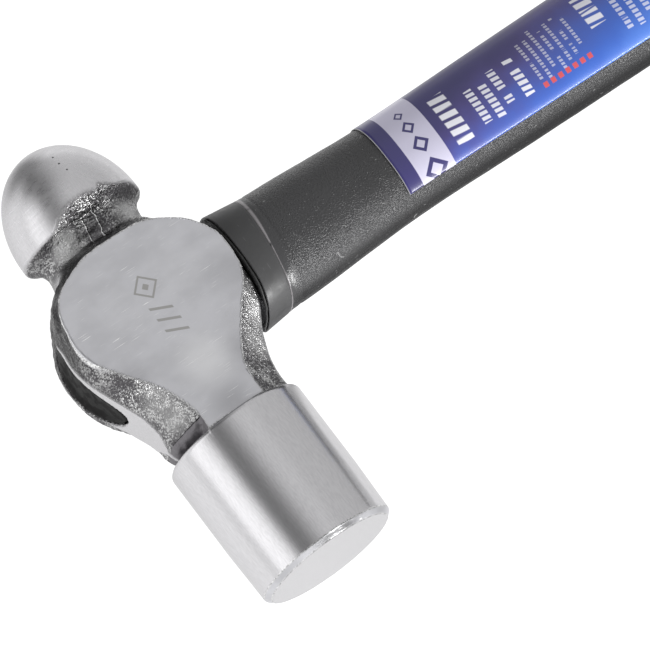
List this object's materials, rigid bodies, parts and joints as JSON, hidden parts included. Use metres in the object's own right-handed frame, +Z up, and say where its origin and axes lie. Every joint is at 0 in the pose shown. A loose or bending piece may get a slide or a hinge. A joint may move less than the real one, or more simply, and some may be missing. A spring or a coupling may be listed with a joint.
{
  "type": "ball peen hammer",
  "caption": "Ball peen hammer with a forged steel head, a black rubber grip over a fibreglass core, and a sticker round the neck of the handle.",
  "frame": {"origin": "middle of the base of the box round the hammer, which lies on the side of its poll", "axes": "+X along the handle towards the butt, +Y along the head towards the ball peen, +Z up, out of the upper cheek"},
  "size_m": [0.335, 0.0984, 0.0299],
  "materials": {
    "forged_steel": "polished poll and ball, ground cheeks, as-forged bands between",
    "black_resin": "cast, dull gloss with fine scuffs",
    "seal_rubber": "matt",
    "fibreglass": "pultruded, satin",
    "jacket_plastic": "smooth moulded satin",
    "grip_rubber": "fine leather texture",
    "printed_film": "satin printed sticker"
  },
  "bodies": {
    "root": {"hammer_head": "forged_steel", "eye_resin": "black_resin", "seal_ring": "seal_rubber", "fibreglass_core": "fibreglass", "handle_jacket": "jacket_plastic", "rubber_grip": "grip_rubber", "label": "printed_film"}
  },
  "joints": []
}
